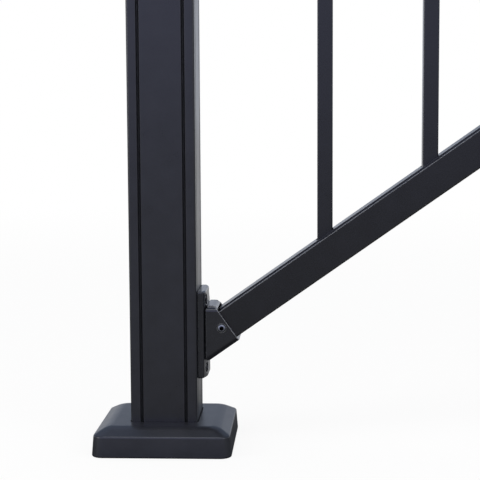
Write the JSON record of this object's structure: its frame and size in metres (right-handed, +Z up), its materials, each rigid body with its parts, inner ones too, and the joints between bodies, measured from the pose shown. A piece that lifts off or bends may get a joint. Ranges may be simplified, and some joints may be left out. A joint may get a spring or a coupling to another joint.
{
  "type": "sloping deck stair railing section",
  "caption": "Black powder-coated aluminium railing bay on a stair slope: grooved posts, bevelled base covers, channel rails in wedge cup brackets and square balusters.",
  "frame": {"origin": "centre of the lower base plate's flat underside", "axes": "+X along the run towards the upper post, +Y through the railing's thickness, +Z up along the posts"},
  "size_m": [1.6219, 0.131, 2.0649],
  "materials": {
    "post_coat": "satin black powder coat",
    "plate_coat": "satin black powder coat",
    "cover_coat": "satin black powder coat",
    "cap_coat": "satin black powder coat",
    "rail_coat": "satin black powder coat",
    "strip_coat": "satin black powder coat",
    "bracket_coat": "satin black powder coat",
    "baluster_coat": "satin black powder coat"
  },
  "bodies": {
    "root": {"lower_post": "post_coat", "upper_post": "post_coat", "lower_base_plate": "plate_coat", "upper_base_plate": "plate_coat", "lower_base_cover": "cover_coat", "upper_base_cover": "cover_coat", "lower_post_cap": "cap_coat", "upper_post_cap": "cap_coat", "bottom_rail": "rail_coat", "top_rail": "rail_coat", "bottom_rail_strip": "strip_coat", "top_rail_strip": "strip_coat", "lower_bottom_bracket_plate": "bracket_coat", "lower_bottom_bracket_cup": "bracket_coat", "upper_bottom_bracket_plate": "bracket_coat", "upper_bottom_bracket_cup": "bracket_coat", "lower_top_bracket_plate": "bracket_coat", "lower_top_bracket_cup": "bracket_coat", "upper_top_bracket_plate": "bracket_coat", "upper_top_bracket_cup": "bracket_coat", "baluster_01": "baluster_coat", "baluster_02": "baluster_coat", "baluster_03": "baluster_coat", "baluster_04": "baluster_coat", "baluster_05": "baluster_coat", "baluster_06": "baluster_coat", "baluster_07": "baluster_coat", "baluster_08": "baluster_coat", "baluster_09": "baluster_coat", "baluster_10": "baluster_coat", "baluster_11": "baluster_coat", "baluster_12": "baluster_coat", "baluster_13": "baluster_coat"}
  },
  "joints": []
}
